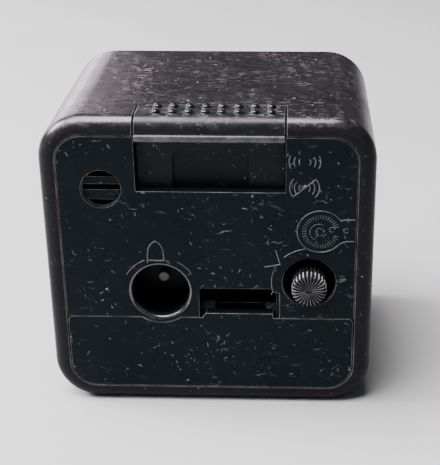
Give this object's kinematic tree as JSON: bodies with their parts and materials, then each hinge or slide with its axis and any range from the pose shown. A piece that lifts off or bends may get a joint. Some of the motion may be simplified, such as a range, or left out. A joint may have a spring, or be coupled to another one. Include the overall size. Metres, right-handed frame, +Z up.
{
  "type": "travel alarm clock",
  "caption": "Small battery travel alarm clock with a square dial, a sliding top switch, a ribbed setting knob in a round well and a battery door at the back.",
  "frame": {"origin": "middle of the flat bottom, half way through the depth of the case", "axes": "+Z up; +X to the right of somebody who looks at the dial, which faces -Y; the back with the setting wells faces +Y"},
  "size_m": [0.062, 0.0485, 0.0602],
  "materials": {
    "case_plastic": "black ABS, worn satin with fine scratches",
    "cover_plastic": "blue-black ABS, fine satin",
    "knob_plastic": "black ABS, ribbed",
    "inner_black": "black moulding",
    "dial_black": "matt printed dial",
    "lens_clear": "clear acrylic",
    "hand_white": "white paint",
    "hand_orange": "orange paint",
    "plate_white": "natural moulding",
    "gear_white": "acetal",
    "brass": "bare brass",
    "steel": "plated steel",
    "magnet_grey": "bonded magnet and pinion",
    "arbor_grey": "grey acetal",
    "bobbin_green": "moulded bobbin",
    "copper_wire": "enamelled copper wire",
    "flex_amber": "flexible lead",
    "board_green": "solder mask",
    "chip_black": "epoxy",
    "cell_jacket": "plain printed jacket"
  },
  "bodies": {
    "case": {"front_case": "case_plastic", "lens": "lens_clear", "dial_spacer": "inner_black", "dial_plate": "dial_black", "movement_front_plate": "plate_white", "movement_middle_plate": "plate_white", "movement_rear_plate": "plate_white", "movement_screw_1": "steel", "movement_screw_2": "steel", "movement_screw_3": "steel", "movement_screw_4": "steel", "stator": "steel", "coil_core": "steel", "coil_bobbin": "bobbin_green", "coil_winding": "copper_wire", "coil_lead": "flex_amber", "alarm_contact_spring": "brass", "circuit_board": "board_green", "chip_cover": "chip_black", "quartz_crystal": "steel", "buzzer": "inner_black", "switch_contact": "brass", "battery_cell": "cell_jacket", "battery_tray": "inner_black", "positive_contact": "steel", "negative_contact_spring": "steel", "negative_contact_plate": "steel", "rear_cover": "cover_plastic", "switch_detent_spring": "steel"},
    "seconds_train": {"second_wheel": "gear_white", "second_hand": "hand_orange"},
    "third_wheel": {"third_wheel": "gear_white"},
    "centre_wheel": {"centre_wheel": "brass"},
    "step_wheel": {"step_wheel": "gear_white"},
    "rotor": {"rotor": "magnet_grey"},
    "time_setter": {"time_set_knob": "knob_plastic", "time_set_arbor": "gear_white"},
    "motion_wheel": {"motion_wheel": "gear_white"},
    "minutes": {"minute_pinion": "brass", "minute_hand": "hand_white"},
    "hours": {"hour_wheel": "gear_white", "hour_hand": "hand_white"},
    "alarm_indicator": {"alarm_wheel": "gear_white", "alarm_hand": "hand_orange"},
    "alarm_setter": {"alarm_set_arbor": "arbor_grey"},
    "alarm_switch": {"alarm_switch": "case_plastic"},
    "battery_door": {"battery_door": "cover_plastic"}
  },
  "joints": [
    {"name": "second_hand_turn", "type": "hinge", "parent": "case", "child": "seconds_train", "pos_m": [0, -0.006, 0.02975], "axis": [0, 1, 0], "continuous": true},
    {"name": "third_wheel_turn", "type": "hinge", "parent": "case", "child": "third_wheel", "pos_m": [0.00405, -0.006, 0.03676], "axis": [0, 1, 0], "continuous": true},
    {"name": "centre_wheel_turn", "type": "hinge", "parent": "case", "child": "centre_wheel", "pos_m": [0, -0.006, 0.02975], "axis": [0, 1, 0], "continuous": true},
    {"name": "step_wheel_turn", "type": "hinge", "parent": "case", "child": "step_wheel", "pos_m": [-0.00272, -0.006, 0.02228], "axis": [0, 1, 0], "continuous": true},
    {"name": "rotor_turn", "type": "hinge", "parent": "case", "child": "rotor", "pos_m": [-0.0095, -0.006, 0.02108], "axis": [0, 1, 0], "continuous": true},
    {"name": "time_knob_turn", "type": "hinge", "parent": "case", "child": "time_setter", "pos_m": [-0.0189, -0.006, 0.0268], "axis": [0, 1, 0], "continuous": true},
    {"name": "motion_wheel_turn", "type": "hinge", "parent": "case", "child": "motion_wheel", "pos_m": [-0.00903, -0.006, 0.02923], "axis": [0, 1, 0], "continuous": true},
    {"name": "minute_hand_turn", "type": "hinge", "parent": "case", "child": "minutes", "pos_m": [0, -0.006, 0.02975], "axis": [0, 1, 0], "continuous": true},
    {"name": "hour_hand_turn", "type": "hinge", "parent": "case", "child": "hours", "pos_m": [0, -0.006, 0.02975], "axis": [0, 1, 0], "continuous": true},
    {"name": "alarm_hand_turn", "type": "hinge", "parent": "case", "child": "alarm_indicator", "pos_m": [0, -0.006, 0.02975], "axis": [0, 1, 0], "continuous": true},
    {"name": "alarm_arbor_turn", "type": "hinge", "parent": "case", "child": "alarm_setter", "pos_m": [0.00935, -0.006, 0.0246], "axis": [0, 1, 0], "continuous": true},
    {"name": "alarm_switch_slide", "type": "slide", "parent": "case", "child": "alarm_switch", "axis": [0, 0, 1], "range_m": [0, 0.0035]},
    {"name": "battery_door_hinge", "type": "hinge", "parent": "case", "child": "battery_door", "pos_m": [0, 0.0222, 0.0043], "axis": [-1, 0, 0], "range_deg": [0, 35]}
  ],
  "couplings": [
    {"joint": "third_wheel_turn", "follows": "second_hand_turn", "ratio": -0.13333},
    {"joint": "centre_wheel_turn", "follows": "second_hand_turn", "ratio": 0.016667},
    {"joint": "step_wheel_turn", "follows": "second_hand_turn", "ratio": -4},
    {"joint": "rotor_turn", "follows": "second_hand_turn", "ratio": 30},
    {"joint": "motion_wheel_turn", "follows": "time_knob_turn", "ratio": -0.5},
    {"joint": "minute_hand_turn", "follows": "time_knob_turn", "ratio": 1.5},
    {"joint": "hour_hand_turn", "follows": "time_knob_turn", "ratio": 0.125},
    {"joint": "alarm_arbor_turn", "follows": "alarm_hand_turn", "ratio": -4}
  ]
}
